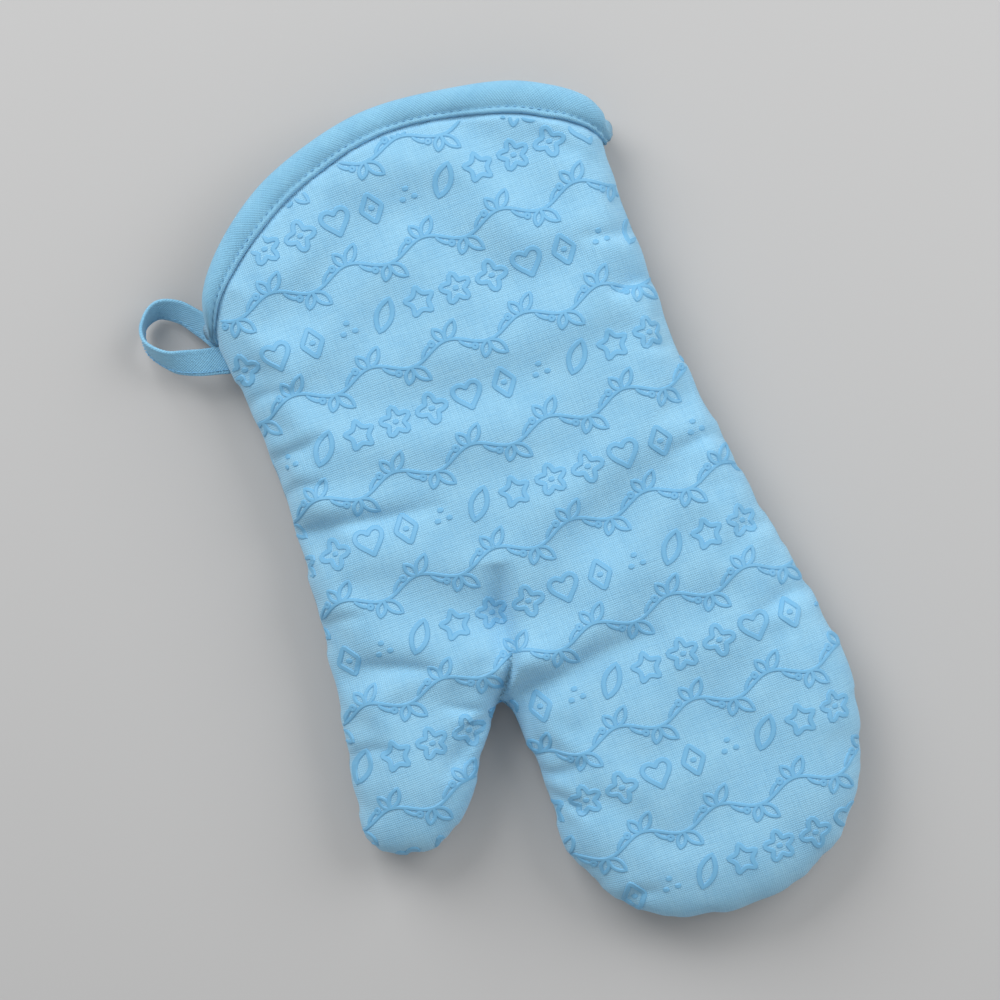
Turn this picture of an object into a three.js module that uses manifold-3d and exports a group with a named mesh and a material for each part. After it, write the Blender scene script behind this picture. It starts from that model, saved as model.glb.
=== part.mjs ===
// A padded oven mitt lying flat on its back: two cotton shell panels, two sheets of wadding and two
// lining panels, sewn round the sides into a bag with a thumb. The bag is open at an arched cuff, which
// is bound with tape, and a hanging loop is sewn into the thumb-side seam just below it.
// Millimetres, +Z up, +Y towards the cuff, -X towards the thumb. The origin is the middle of the
// footprint, on the surface that the mitt lies on.
import * as THREE from "three";
import { mergeVertices } from "three/addons/utils/BufferGeometryUtils.js";
import Module from "manifold-3d";

// The bag's own height: the side seam lies at SEAM_Z, and the padding rolls over its edge on both sides.
const SEAM_Z = 11.5;
const CROWN = 18.5; // the palm side above the seam
const EDGE_ROLL = 16; // how far in from the seam the padding reaches its full height
const ROLL_STEPS = 3; // facets of that roll, on each side of the seam

// Each layer's [outer, inner] depth below the bag's outside, where it lies free and where the binding's
// stitching presses it thin.
const SHELL = { free: [0, 1], pressed: [1.7, 2.6] };
const WADDING = { free: [1.3, 5.3], pressed: [2.9, 4.1] };
const LINING = { free: [5.6, 6.4], pressed: [4.4, 5.1] };
const BINDING = { outerLeg: [0.8, 1.4], innerLeg: [5.4, 6] };
const TOPSTITCH = [0, 0.5];
const TOPSTITCH_INSET = 2; // from the binding's lower edge
const GAP = 0.3; // between touching pieces
const STEP = 1; // the length over which a layer goes from free to pressed
const SEAM_GAP = 1.1; // between the two halves, where the seam threads lie
const THREAD = 0.5;

// The outline as it would be marked on the cloth: from the thumb-side end of the cuff, down round the
// thumb, up into the crotch, round the fingers, and up the far side.
const THUMB_SIDE = [[-86, 107], [-82, 78], [-80, 40], [-82, 8], [-87, -38], [-94.8, -74]];
const THUMB_TIP = { centre: [-73.2, -80], radius: 22.8, from: 172, to: 322 };
const CROTCH = { centre: [-31.5, -66.5], radius: 2.2, from: 145, to: 12 };
const FINGERS = [
  [-26, -84], [-25.5, -114], [-16, -139], [3, -157.5], [34, -165],
  [64, -159.5], [86, -141], [98, -112], [99.5, -88], [94.5, -52],
];
const FAR_SIDE = [[85.5, -4], [80.5, 40], [79.8, 84], [83, 126]];
const PAST_CUFF = 190; // the bag is drawn this far up, then cut along the cuff

// The cuff's arched edge, and the lower edge of its binding, which tapers out at both seams
const CUFF_EDGE = [
  [-86, 107], [-81, 122], [-62, 143], [-34, 158], [4, 165], [50, 158], [72, 147], [81, 137], [83, 126],
];
const BINDING_EDGE = [
  [-86, 102.5], [-76, 118], [-57, 134], [-30, 148], [5, 155], [44, 148], [64, 139], [76, 131], [83, 123],
];
const REACH = 300; // half the size of the blocks that cut the bag

// The hanging loop: a folded tape that leaves the seam, turns over at its far end and comes back under
// itself. Each stop is a point on its middle line and the way that its width points there.
const LOOP_WIDTH = 10;
const LOOP_THICK = 1.4;
const LOOP_STEPS = 30;
const LOOP_STITCH_INSET = 1.5; // from the tape's edge
const LOOP = [
  { at: [-88.9, 97.5, 12.8], across: [0, 1, 0] },
  { at: [-95, 99.2, 13.6], across: [-0.2, 1, 0.2] },
  { at: [-103, 103.8, 14], across: [-0.25, 0.8, 0.6] },
  { at: [-108.8, 112, 11.8], across: [0, 0.7, 0.7] },
  { at: [-107.8, 120.6, 7.8], across: [0.15, 0.65, 0.75] },
  { at: [-101, 123, 5.4], across: [0.3, 0.6, 0.7] },
  { at: [-95, 117, 5.6], across: [0.3, 0.7, 0.6] },
  { at: [-92.2, 110.6, 7.6], across: [0.2, 0.9, 0.3] },
  { at: [-88.9, 107.2, 10.1], across: [0, 1, 0] },
];

const wasm = await Module();
wasm.setup();

// ---- Solids that can be cut and joined

function solid(geometry) {
  const bare = new THREE.BufferGeometry();
  bare.setAttribute("position", geometry.getAttribute("position"));
  bare.setIndex(geometry.index);
  const merged = mergeVertices(bare, 1e-4);
  return new wasm.Manifold(
    new wasm.Mesh({
      numProp: 3,
      vertProperties: new Float32Array(merged.attributes.position.array),
      triVerts: new Uint32Array(merged.index.array),
    }),
  );
}

function geometryOf(body) {
  const mesh = body.getMesh();
  const geometry = new THREE.BufferGeometry();
  geometry.setAttribute("position", new THREE.BufferAttribute(mesh.vertProperties, 3));
  geometry.setIndex(new THREE.BufferAttribute(mesh.triVerts, 1));
  geometry.computeVertexNormals();
  return geometry;
}

// ---- The bag

const radians = THREE.MathUtils.degToRad;
const point2 = ([x, y]) => new THREE.Vector2(x, y);
const spline = (stops, divisions) => new THREE.SplineCurve(stops.map(point2)).getSpacedPoints(divisions);

function arc({ centre, radius, from, to }, divisions) {
  const curve = new THREE.EllipseCurve(...centre, radius, radius, radians(from), radians(to), to < from);
  return curve.getPoints(divisions);
}

// The side seam, anticlockwise from above, and the outline that closes it past the cuff
const seamLine = [
  ...spline(THUMB_SIDE, 7),
  ...arc(THUMB_TIP, 8),
  ...arc(CROTCH, 4),
  ...spline([...FINGERS, ...FAR_SIDE], 30),
];
const bagLine = [
  ...seamLine,
  new THREE.Vector2(seamLine.at(-1).x, PAST_CUFF),
  new THREE.Vector2(seamLine[0].x, PAST_CUFF),
];

// The way into the bag at each point of its outline
const inward = bagLine.map((point, i) => {
  const arriving = point.clone().sub(bagLine.at(i - 1)).normalize();
  const leaving = bagLine[(i + 1) % bagLine.length].clone().sub(point).normalize();
  const ahead = arriving.add(leaving).normalize();
  return new THREE.Vector2(-ahead.y, ahead.x);
});

// The solid that lies inside a given depth below the bag's outside: rings that roll over the side seam
// from the flat underside to the flat top, and a face closing each end
function bagAt(depth) {
  const positions = [];
  for (let step = -ROLL_STEPS; step <= ROLL_STEPS; step++) {
    const angle = (step / ROLL_STEPS) * (Math.PI / 2);
    const inset = EDGE_ROLL - (EDGE_ROLL - depth) * Math.cos(angle);
    const rise = (step < 0 ? SEAM_Z : CROWN) - depth;
    bagLine.forEach((point, i) => {
      const { x, y } = point.clone().addScaledVector(inward[i], inset);
      positions.push(x, y, SEAM_Z + rise * Math.sin(angle));
    });
  }
  const count = bagLine.length;
  const top = 2 * ROLL_STEPS * count;
  const faces = [];
  for (let ring = 0; ring < top; ring += count) {
    for (let i = 0; i < count; i++) {
      const here = ring + i;
      const next = ring + ((i + 1) % count);
      faces.push(here, next, next + count);
      faces.push(here, next + count, here + count);
    }
  }
  const rim = bagLine.map((point, i) => point.clone().addScaledVector(inward[i], EDGE_ROLL));
  for (const [a, b, c] of THREE.ShapeUtils.triangulateShape(rim, [])) {
    faces.push(top + a, top + b, top + c);
    faces.push(a, c, b);
  }
  const geometry = new THREE.BufferGeometry();
  geometry.setAttribute("position", new THREE.Float32BufferAttribute(positions, 3));
  geometry.setIndex(faces);
  return solid(geometry);
}

const between = ([outer, inner]) => bagAt(outer).subtract(bagAt(inner));

// ---- The cuff, as seen from above

// Everything on the fingers' side of a line across the cuff, once the line is moved that way by a distance
function below(stops, distance) {
  const line = spline(stops, 2 * stops.length);
  const moved = line.map((point, i) => {
    const ahead = line[Math.min(i + 1, line.length - 1)].clone().sub(line[Math.max(i - 1, 0)]).normalize();
    return point.clone().add(new THREE.Vector2(ahead.y, -ahead.x).multiplyScalar(distance));
  });
  const shape = new THREE.Shape([
    new THREE.Vector2(-REACH, -REACH),
    new THREE.Vector2(REACH, -REACH),
    new THREE.Vector2(REACH, moved.at(-1).y),
    ...moved.toReversed(),
    new THREE.Vector2(-REACH, moved[0].y),
  ]);
  const block = new THREE.ExtrudeGeometry(shape, { depth: 2 * REACH, bevelEnabled: false });
  return solid(block.translate(0, 0, -REACH));
}

// A layer of the bag: free up to just short of the binding, and pressed from there to the cuff, with a
// step between them that is as thick as both
function layer({ free, pressed }, clear) {
  const end = below(BINDING_EDGE, clear);
  const thick = [Math.min(free[0], pressed[0]), Math.max(free[1], pressed[1])];
  const step = between(thick).intersect(end).subtract(below(BINDING_EDGE, clear + STEP));
  const edge = between(pressed).intersect(below(CUFF_EDGE, 0));
  return between(free).intersect(end).add(step).add(edge.subtract(below(BINDING_EDGE, clear + STEP / 2)));
}

// Binding tape folded over the cuff's edge, with a leg on the outside and a leg on the inside
function binding({ outerLeg, innerLeg }) {
  const thickness = outerLeg[1] - outerLeg[0];
  const whole = between([outerLeg[0], innerLeg[1]]).intersect(below(CUFF_EDGE, -GAP - thickness));
  const hollow = between([outerLeg[1], innerLeg[0]]).intersect(below(CUFF_EDGE, -GAP));
  return whole.subtract(below(BINDING_EDGE, 0)).subtract(hollow);
}

// The thread that shows along the binding, on the outside
function topstitch() {
  return between(TOPSTITCH)
    .intersect(below(BINDING_EDGE, -TOPSTITCH_INSET - THREAD))
    .subtract(below(BINDING_EDGE, -TOPSTITCH_INSET));
}

// What lies between two heights of a body
function slice(body, low, high) {
  const block = new THREE.BoxGeometry(2 * REACH, 2 * REACH, high - low);
  return body.intersect(solid(block.translate(0, 0, (low + high) / 2)));
}

// The thread that joins the two halves of a layer all round the side seam
function seamThread({ free: [outer, inner] }) {
  const depth = (outer + inner - THREAD) / 2;
  const strand = between([depth, depth + THREAD]).intersect(below(CUFF_EDGE, 0));
  return slice(strand, SEAM_Z - THREAD / 2, SEAM_Z + THREAD / 2);
}

// ---- The hanging loop

const loopLine = new THREE.CatmullRomCurve3(LOOP.map(({ at }) => new THREE.Vector3(...at)));
const loopAcross = new THREE.CatmullRomCurve3(LOOP.map(({ across }) => new THREE.Vector3(...across)));

// A straight strip, one unit long in X, wound along the loop's middle line
function wound(strip) {
  const position = strip.getAttribute("position");
  for (let i = 0; i < position.count; i++) {
    const share = position.getX(i) + 0.5;
    const ahead = loopLine.getTangent(share);
    const across = loopAcross.getPoint(share);
    across.addScaledVector(ahead, -across.dot(ahead)).normalize();
    const out = new THREE.Vector3().crossVectors(ahead, across);
    const point = loopLine.getPoint(share);
    point.addScaledVector(across, position.getY(i)).addScaledVector(out, position.getZ(i));
    position.setXYZ(i, ...point);
  }
  return strip;
}

const loopTape = () => wound(new THREE.BoxGeometry(1, LOOP_WIDTH, LOOP_THICK, LOOP_STEPS, 1, 1));

function loopThread() {
  const strip = new THREE.BoxGeometry(1, THREAD, THREAD, LOOP_STEPS, 1, 1);
  const aside = LOOP_STITCH_INSET - LOOP_WIDTH / 2;
  return wound(strip.translate(0, aside, -LOOP_THICK / 2 - GAP - THREAD / 2));
}

// ---- Materials

const finish = (color, roughness) => new THREE.MeshStandardMaterial({ color, roughness, metalness: 0 });
const cotton = finish("#8ac2e2", 0.85);
const tapeCotton = finish("#82bbdd", 0.85);
const fibrefill = finish("#f1efe8", 0.95);
const calico = finish("#e6e1d4", 0.9);
const thread = finish("#7ab6d9", 0.6);

// ---- The mitt

const mitt = new THREE.Group();

function piece(name, geometry, material) {
  const mesh = new THREE.Mesh(geometry, material);
  mesh.name = name;
  mitt.add(mesh);
}

// One piece for the palm half of a body and one for the back half
function pieces(name, body, material) {
  piece(`palm_${name}`, geometryOf(slice(body, SEAM_Z + SEAM_GAP / 2, REACH)), material);
  piece(`back_${name}`, geometryOf(slice(body, -REACH, SEAM_Z - SEAM_GAP / 2)), material);
}

pieces("shell", layer(SHELL, GAP), cotton);
pieces("wadding", layer(WADDING, GAP + STEP + GAP), fibrefill);
pieces("lining", layer(LINING, GAP), calico);
pieces("binding", binding(BINDING), tapeCotton);
pieces("binding_thread", topstitch(), thread);
piece("side_seam_thread", geometryOf(seamThread(SHELL)), thread);
piece("lining_seam_thread", geometryOf(seamThread(LINING)), thread);
piece("hanging_loop", loopTape(), tapeCotton);
piece("hanging_loop_thread", loopThread(), thread);

// The origin goes to the middle of the footprint, at the height of the table
const box = new THREE.Box3().setFromObject(mitt);
const footprint = box.getCenter(new THREE.Vector3());
mitt.position.set(-footprint.x, -footprint.y, -box.min.z);

export default mitt;
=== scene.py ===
"""The looks of a padded cotton oven mitt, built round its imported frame.

Metres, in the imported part's own frame: +Y towards the cuff, -X towards the thumb, +Z up from the table.
"""

import math

import bmesh
import bpy
import numpy as np
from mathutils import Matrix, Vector
from mathutils.geometry import delaunay_2d_cdt


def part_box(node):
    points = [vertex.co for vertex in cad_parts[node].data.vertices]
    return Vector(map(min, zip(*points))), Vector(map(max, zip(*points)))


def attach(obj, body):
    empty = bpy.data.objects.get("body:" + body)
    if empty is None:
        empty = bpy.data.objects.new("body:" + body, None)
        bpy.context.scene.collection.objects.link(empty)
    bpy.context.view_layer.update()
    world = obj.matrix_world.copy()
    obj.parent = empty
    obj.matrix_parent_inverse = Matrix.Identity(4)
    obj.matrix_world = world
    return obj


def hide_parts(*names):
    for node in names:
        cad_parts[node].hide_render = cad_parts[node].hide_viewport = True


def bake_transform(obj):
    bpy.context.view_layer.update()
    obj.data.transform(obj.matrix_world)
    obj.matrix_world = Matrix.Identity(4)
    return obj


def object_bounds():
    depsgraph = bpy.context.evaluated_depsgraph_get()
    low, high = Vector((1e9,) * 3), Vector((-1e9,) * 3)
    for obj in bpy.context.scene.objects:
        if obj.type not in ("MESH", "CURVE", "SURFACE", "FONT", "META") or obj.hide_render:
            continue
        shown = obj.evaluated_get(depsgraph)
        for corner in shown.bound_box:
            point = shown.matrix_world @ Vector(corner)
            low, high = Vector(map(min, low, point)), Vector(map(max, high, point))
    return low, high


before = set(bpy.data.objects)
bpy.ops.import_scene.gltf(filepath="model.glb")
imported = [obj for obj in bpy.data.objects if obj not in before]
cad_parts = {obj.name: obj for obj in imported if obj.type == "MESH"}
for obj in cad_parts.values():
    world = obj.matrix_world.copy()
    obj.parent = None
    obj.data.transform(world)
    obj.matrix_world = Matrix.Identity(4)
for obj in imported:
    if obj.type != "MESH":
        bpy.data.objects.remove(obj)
packed_box = [list(corner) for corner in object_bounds()]
MM = 0.001

# ---- Camera
# A long lens straight above the mitt, turned so that the cuff leans to the left of the frame.

VIEW_CENTRE = (0.0019, 0.0114)
VIEW_WIDTH = 0.3792
VIEW_TURN = math.radians(-20)
LENS = 100
SENSOR = 36


def put_in_scene(name, data):
    made = bpy.data.objects.new(name, data)
    bpy.context.scene.collection.objects.link(made)
    return made


lens = bpy.data.cameras.new("camera")
lens.lens = LENS
lens.sensor_width = SENSOR
camera = put_in_scene("camera", lens)
mid_height = (packed_box[0][2] + packed_box[1][2]) / 2
camera.location = (*VIEW_CENTRE, mid_height + VIEW_WIDTH * LENS / SENSOR)
camera.rotation_euler = (0, 0, VIEW_TURN)
bpy.context.scene.camera = camera

# ---- The bag
# Palm and back are cut to one outline, sewn together round the sides, turned right side out and padded.
# Every layer follows the shape that the padding gives the bag, so that shape is made first, as cloth: a
# palm and a back that share the side seam, blown up from inside, held at the cuff and on the table.

# The side seam on the flat cloth, in millimetres: from the thumb's end of the cuff, down round the thumb,
# up into the crotch, round the fingers and up the far side; and the cuff's edge, from the thumb's side
SIDE_SEAM = [
    (-85, 106.5), (-83.6, 94), (-82, 82), (-80.4, 62), (-80.2, 40), (-81.6, 15), (-83.5, -8), (-87, -38.6),
    (-91.3, -61), (-94.6, -80), (-95.4, -90), (-91.5, -98.5), (-84, -103.2), (-75, -104.5), (-66, -102.8),
    (-57.5, -97.5), (-50, -89), (-43.5, -78.5), (-37, -69.6), (-32.6, -65.4), (-29.6, -61.9), (-27.9, -65.2),
    (-26.4, -70.4), (-25.6, -80), (-24.7, -95), (-25.3, -112), (-25.4, -121), (-22.8, -129), (-16, -142.5),
    (-8, -152), (3.6, -159.4), (18, -164), (34, -165.5), (50, -164), (63, -159.5), (75.4, -151.8),
    (86, -139), (93, -125), (98, -108), (100.2, -95), (99.3, -84), (96, -61), (92, -38.6), (87.8, -16),
    (84.5, 6.7), (81.8, 22), (80.2, 40), (80.1, 60), (79.8, 90), (79.7, 113), (81.4, 127),
]
CUFF = [
    (-86, 106.5), (-81.5, 121.5), (-70.5, 135.5), (-52, 149.8), (-35, 157.6), (-15, 163.2), (4, 165.2),
    (28, 162.6), (51.4, 157.8), (67.2, 150.4), (77.6, 142.6), (82, 134.4), (82.6, 127),
]
CROTCH = (-29.6, -61.9)  # where the seam turns sharply, between the thumb and the hand
CROTCH_REACH = 7.0
SEAM_OUTWARD = 1.1  # how far the cloth stands out beyond the stops of the side seam, away from the crotch
SEAM_HEIGHT = 11.5  # above the table
PALM_RISE = 18.3  # of the palm above the seam
BACK_DROP = 11.1  # of the back below it, which leaves room for the raised print under the bag
SHOULDER = 24  # how far in from the seam the padding reaches its full height
SHOULDER_ROUND = 2.2  # 2 is an ellipse, and more is squarer
LEAST_HEIGHT = 1.15  # of the back above the table, so that the mitt rests on its binding
TOUCHING = 0.01
BAG_MESH = 3.0
SUBDIVISIONS = 2
CURVE_STEPS = 24  # between two stops of a smooth line
GRID_CLEARANCE = 0.55  # between a panel's grid and the rows along its edge, in grid steps
ROW_CLEARANCE = 0.9  # the share of its own distance that a row keeps from the rest of the edge
SAME_POINT = 1e-5
QUAD_BEND, QUAD_SKEW = math.radians(40), math.radians(25)
FOLD_STEP = 1.5
FOLD_FADE = 0.7
VALLEY_PEAK, VALLEY_FALL, VALLEY_ROUND = 0.62, 1.6, 0.15
LIP_PLACE, LIP_WIDTH = 2.1, 1.3  # in widths of the fold's slope
JOINING = 4  # where folds meet, the deeper one shows, and the more so the higher this is
SEAM_FOLD = 0.1  # how deep a fold may be at the seam itself
NORMAL_PASSES = 12
DEEPEST_FOLD = 0.75  # as a share of the palm's height above the seam
WAVES = 14
WAVE_LENGTHS = (24, 60)
WAVE_HEIGHT = 0.62
WAVE_SEED = 5
# Waves in the side seam's line, where its stitches gather the cloth: how many, their start and their height
SCALLOPS = ((31, 0.0, 0.3), (47, 1.0, 0.22))
PAST_CUFF = 7.0  # spare cloth above the cuff, so that the binding has something to follow

# Folds that the bag is pressed into: their line on the flat palm, how wide the slope on the line's left is
# and the one on its right, their depth, the lip raised on the left, or on the right if it is negative,
# and whether they start at the seam
FOLDS = [
    ([(-29.5, -61.4), (-25.5, -55.5), (-21.2, -49.8), (-16.9, -41.4), (-15.2, -33)],
     2.6, 1.5, 11.0, -1.0, True),
    ([(-23, -50), (-19.5, -37), (-17.8, -27), (-14.7, -18), (-13, -10)], 7.0, 5.0, 8.5, -0.5, False),
    ([(-29.5, -61.6), (-18, -59.8), (-4, -58), (8, -55.8), (20, -55), (38, -56)],
     4.6, 9.0, 7.5, 1.8, True),
    ([(-31, -62), (-43, -69.5), (-60, -81)], 2.2, 3.4, 4.2, 0.7, True),
    ([(-31, -62), (-40, -60), (-51, -54)], 2.0, 2.8, 3.6, 0.6, True),
    ([(-76, -29), (-60, -35), (-43, -43)], 4.0, 5.6, 4.0, 0.7, False),
    ([(-81.5, 25.5), (-62, 23), (-42, 19.5), (-22, 17)], 3.6, 5.4, 6.2, 1.2, True),
    ([(-81.5, 55), (-70, 54.5), (-54, 56)], 2.4, 3.4, 4.6, 0.8, True),
    ([(-81.5, 40), (-73, 41.5), (-61, 39)], 2.2, 3.0, 3.6, 0.6, True),
    ([(-85, -12), (-77, -10.5), (-64, -12.5)], 2.4, 3.4, 3.0, 0.6, True),
    ([(-83, 76), (-73, 78), (-58, 75)], 2.4, 3.4, 3.0, 0.6, True),
    ([(81, 91), (72, 90), (56, 93)], 2.6, 3.8, 4.0, 0.8, True),
    ([(81, 69), (74, 71), (60, 69)], 2.2, 3.4, 4.0, 0.8, True),
    ([(81, 46), (74, 45), (64, 47)], 2.0, 2.8, 2.8, 0.6, True),
    ([(85.5, 4), (76, 7), (60, 6)], 2.8, 4.0, 3.8, 0.8, True),
    ([(93, -30), (85, -31), (75, -28)], 2.4, 3.2, 2.8, 0.5, True),
    ([(97, -60), (86, -59), (68, -63)], 3.0, 4.0, 3.4, 0.6, True),
    ([(-25, -91), (-17, -93), (-4, -92)], 2.2, 3.4, 3.8, 0.7, True),
    ([(-25, -98), (-19, -103), (-11, -113)], 2.2, 3.2, 3.4, 0.7, True),
    ([(-14, -147), (-6, -145), (6, -147)], 2.4, 3.2, 3.0, 0.6, True),
    ([(-92, -62), (-84, -60), (-73, -63)], 2.2, 3.0, 2.8, 0.5, True),
]


def smooth_line(stops, spacing):
    """Points about that far apart along a smooth line through the stops."""
    stops = np.array(stops, float)
    padded = np.vstack([2 * stops[0] - stops[1], stops, 2 * stops[-1] - stops[-2]])
    share = np.linspace(0, 1, CURVE_STEPS, endpoint=False)[:, None]
    runs = []
    for a, b, c, d in zip(padded, padded[1:], padded[2:], padded[3:]):
        cubic = (3 * b - a - 3 * c + d) * share**3 + (2 * a - 5 * b + 4 * c - d) * share**2
        runs.append((cubic + (c - a) * share + 2 * b) / 2)
    dense = np.vstack([*runs, stops[-1:]])
    steps = np.linalg.norm(np.diff(dense, axis=0), axis=1)
    travelled = np.concatenate([[0], np.cumsum(steps)])
    marks = np.linspace(0, travelled[-1], max(2, round(travelled[-1] / spacing)) + 1)
    return np.stack([np.interp(marks, travelled, axis) for axis in dense.T], axis=1)


def leftward(line):
    """The unit vector to the left of a flat line, at each of its points."""
    ahead = np.gradient(line, axis=0)
    ahead /= np.linalg.norm(ahead, axis=1)[:, None]
    return np.stack([-ahead[:, 1], ahead[:, 0]], axis=1)


def side_seam(spacing):
    line = smooth_line(SIDE_SEAM, spacing)
    share = np.linspace(0, 2 * np.pi, len(line))
    pulled = sum(height * np.sin(share * count + start) for count, start, height in SCALLOPS)
    from_crotch = np.linalg.norm(line - CROTCH, axis=1)
    outward = (SEAM_OUTWARD + pulled) * (1 - np.exp(-((from_crotch / CROTCH_REACH) ** 2)))
    line = line - leftward(line) * outward[:, None]
    line[from_crotch.argmin()] = CROTCH
    return line


def beside(points, line):
    """Each point's distance from a flat line, its share of the way along, and 1 on the line's left or -1."""
    nearest = np.full(len(points), np.inf)
    share = np.zeros(len(points))
    side = np.ones(len(points))
    for i, (start, end) in enumerate(zip(line, line[1:])):
        step = end - start
        off = points - start
        along = np.clip(off @ step / (step @ step), 0, 1)
        gap = np.linalg.norm(off - along[:, None] * step, axis=1)
        closer = gap < nearest
        nearest[closer] = gap[closer]
        share[closer] = (i + along[closer]) / (len(line) - 1)
        turn = step[0] * off[closer, 1] - step[1] * off[closer, 0]
        side[closer] = np.where(turn >= 0, 1, -1)
    return nearest, share, side


def inside(points, outline):
    """Which points lie inside a closed flat outline."""
    x, y = points.T
    found = np.zeros(len(points), bool)
    for (x1, y1), (x2, y2) in zip(outline, np.roll(outline, -1, axis=0)):
        if y1 != y2:
            found ^= ((y1 > y) != (y2 > y)) & (x < (x2 - x1) * (y - y1) / (y2 - y1) + x1)
    return found


def panel_outline(spacing, inset, rise):
    """The outline of a panel whose sides lie inside the seam, and whose top lies above the cuff's edge."""
    side = side_seam(spacing)
    mouth = smooth_line(CUFF, spacing)
    side = side + leftward(side) * inset
    mouth = mouth + leftward(mouth) * rise
    outline = np.vstack([side, mouth[::-1]])
    gaps = np.linalg.norm(outline - np.roll(outline, 1, axis=0), axis=1)
    return outline[gaps > spacing / 4]


def cut_flat(outline, spacing, rows=()):
    """Points and faces that fill a flat outline, with rows of points at some distances from its edge."""
    edge = np.vstack([outline, outline[:1]])
    low, high = outline.min(axis=0), outline.max(axis=0)
    grid = np.stack(
        np.meshgrid(np.arange(low[0], high[0], spacing), np.arange(low[1], high[1], spacing)), axis=-1
    ).reshape(-1, 2)
    grid = grid[inside(grid, outline)]
    grid = grid[beside(grid, edge)[0] > (rows[-1] if rows else 0) + spacing * GRID_CLEARANCE]
    kept = [outline, grid]
    for row in rows:
        line = outline + leftward(outline) * row
        line = line[inside(line, outline)]
        kept.append(line[beside(line, edge)[0] > row * ROW_CLEARANCE])
    points = np.vstack(kept)
    count = len(outline)
    edges = [(i, (i + 1) % count) for i in range(count)]
    found = delaunay_2d_cdt([Vector(point) for point in points], edges, [], 1, SAME_POINT)
    return np.array([tuple(point) for point in found[0]]), found[2]


def rounded(distance, height):
    """The padding's height at a distance in from the seam."""
    short = 1 - np.clip(distance / SHOULDER, 0, 1)
    return height * (1 - short**SHOULDER_ROUND) ** (1 / SHOULDER_ROUND)


def new_object(name, points, faces):
    mesh = bpy.data.meshes.new(name)
    mesh.from_pydata(np.asarray(points).tolist(), [], faces)
    mesh.update()
    return put_in_scene(name, mesh)


def settle(piece):
    """Turns the piece's modifiers into its mesh."""
    graph = bpy.context.evaluated_depsgraph_get()
    made = bpy.data.meshes.new_from_object(piece.evaluated_get(graph), depsgraph=graph)
    piece.modifiers.clear()
    piece.data = made
    return piece


def vectors(mesh, name):
    found = np.zeros(len(mesh.vertices) * 3, np.float32)
    mesh.attributes[name].data.foreach_get("vector", found)
    return found.reshape(-1, 3).astype(float)


def keep_vectors(mesh, name, values):
    stored = mesh.attributes.new(name, "FLOAT_VECTOR", "POINT")
    stored.data.foreach_set("vector", values.astype(np.float32).ravel())


# The flat cloth's own place in the frame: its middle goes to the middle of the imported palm
palm_low, palm_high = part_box("palm_shell")
flat_panel = panel_outline(BAG_MESH, 0, 0)
packed_middle = np.array([palm_low[:2], palm_high[:2]]).mean(axis=0) / MM
SHIFT = packed_middle - (flat_panel.min(axis=0) + flat_panel.max(axis=0)) / 2


# The cloth's behaviour, in the simulation's own units: firm cotton backed with wadding, so it bends little
# and only puckers where the seams gather it. It is cut a little larger than its seam, and held in place by
# the seam and the cuff, and less firmly by the padding inside.
FRAMES = 24
CLOTH_QUALITY = 7
PRESSURE = 2.0
GROWTH = 0.014
STRETCH_STIFFNESS = 12
SHEAR_STIFFNESS = 7.2
BEND_STIFFNESS = 8
STRETCH_DAMPING = 8
BEND_DAMPING = 1
AIR_DAMPING = 3
CLOTH_MASS = 0.25
PALM_HOLD = 0.1
BACK_HOLD = 0.35
CUFF_HOLD = 0.9
CUFF_HOLD_REACH = 12
MIDDLE_SHARE = 0.85  # how much of the cloth's own movement is kept in the middle of a panel
EDGE_REACH = 30


def sewn_bag():
    """The bag as sewn, with each point's own place on the flat cloth, and the hold on each point."""
    flat, faces = cut_flat(panel_outline(BAG_MESH, 0, PAST_CUFF), BAG_MESH)
    seam = side_seam(BAG_MESH)
    from_seam = beside(flat, seam)[0]
    from_cuff, _, above_cuff = beside(flat, smooth_line(CUFF, BAG_MESH))
    sewn = from_seam < TOUCHING
    back = np.flatnonzero(~sewn)
    on_back = np.arange(len(flat))
    on_back[back] = len(flat) + np.arange(len(back))
    height = np.concatenate([
        SEAM_HEIGHT + rounded(from_seam, PALM_RISE),
        SEAM_HEIGHT - rounded(from_seam[back], BACK_DROP),
    ])
    flat_all = np.vstack([flat, flat[back]])
    bag = new_object(
        "bag",
        np.column_stack([flat_all + SHIFT, height]) * MM,
        [tuple(face) for face in faces] + [tuple(on_back[list(face)][::-1]) for face in faces],
    )
    bag.data.polygons.foreach_set("material_index", np.repeat([0, 1], len(faces)).astype(np.int32))
    keep_vectors(bag.data, "flat", np.column_stack([flat_all, np.zeros(len(flat_all))]))
    sharp = bag.data.attributes.new("crease_vert", "FLOAT", "POINT")
    at_crotch = np.linalg.norm(flat_all - CROTCH, axis=1) < TOUCHING
    sharp.data.foreach_set("value", at_crotch.astype(np.float32))
    hold = np.full(len(flat_all), PALM_HOLD)
    hold[len(flat):] = BACK_HOLD
    near_cuff = np.concatenate([from_cuff, from_cuff[back]])
    past_cuff = np.concatenate([above_cuff, above_cuff[back]]) > 0
    hold = np.maximum(hold, CUFF_HOLD * np.clip(1 - near_cuff / CUFF_HOLD_REACH, 0, 1))
    hold[past_cuff | np.concatenate([sewn, sewn[back]])] = 1
    return bag, hold, np.concatenate([from_seam, from_seam[back]])


def join_into_quads(mesh):
    work = bmesh.new()
    work.from_mesh(mesh)
    bmesh.ops.join_triangles(
        work, faces=work.faces, cmp_materials=True,
        angle_face_threshold=QUAD_BEND, angle_shape_threshold=QUAD_SKEW,
    )
    bmesh.ops.recalc_face_normals(work, faces=work.faces)
    work.to_mesh(mesh)
    work.free()


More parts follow.
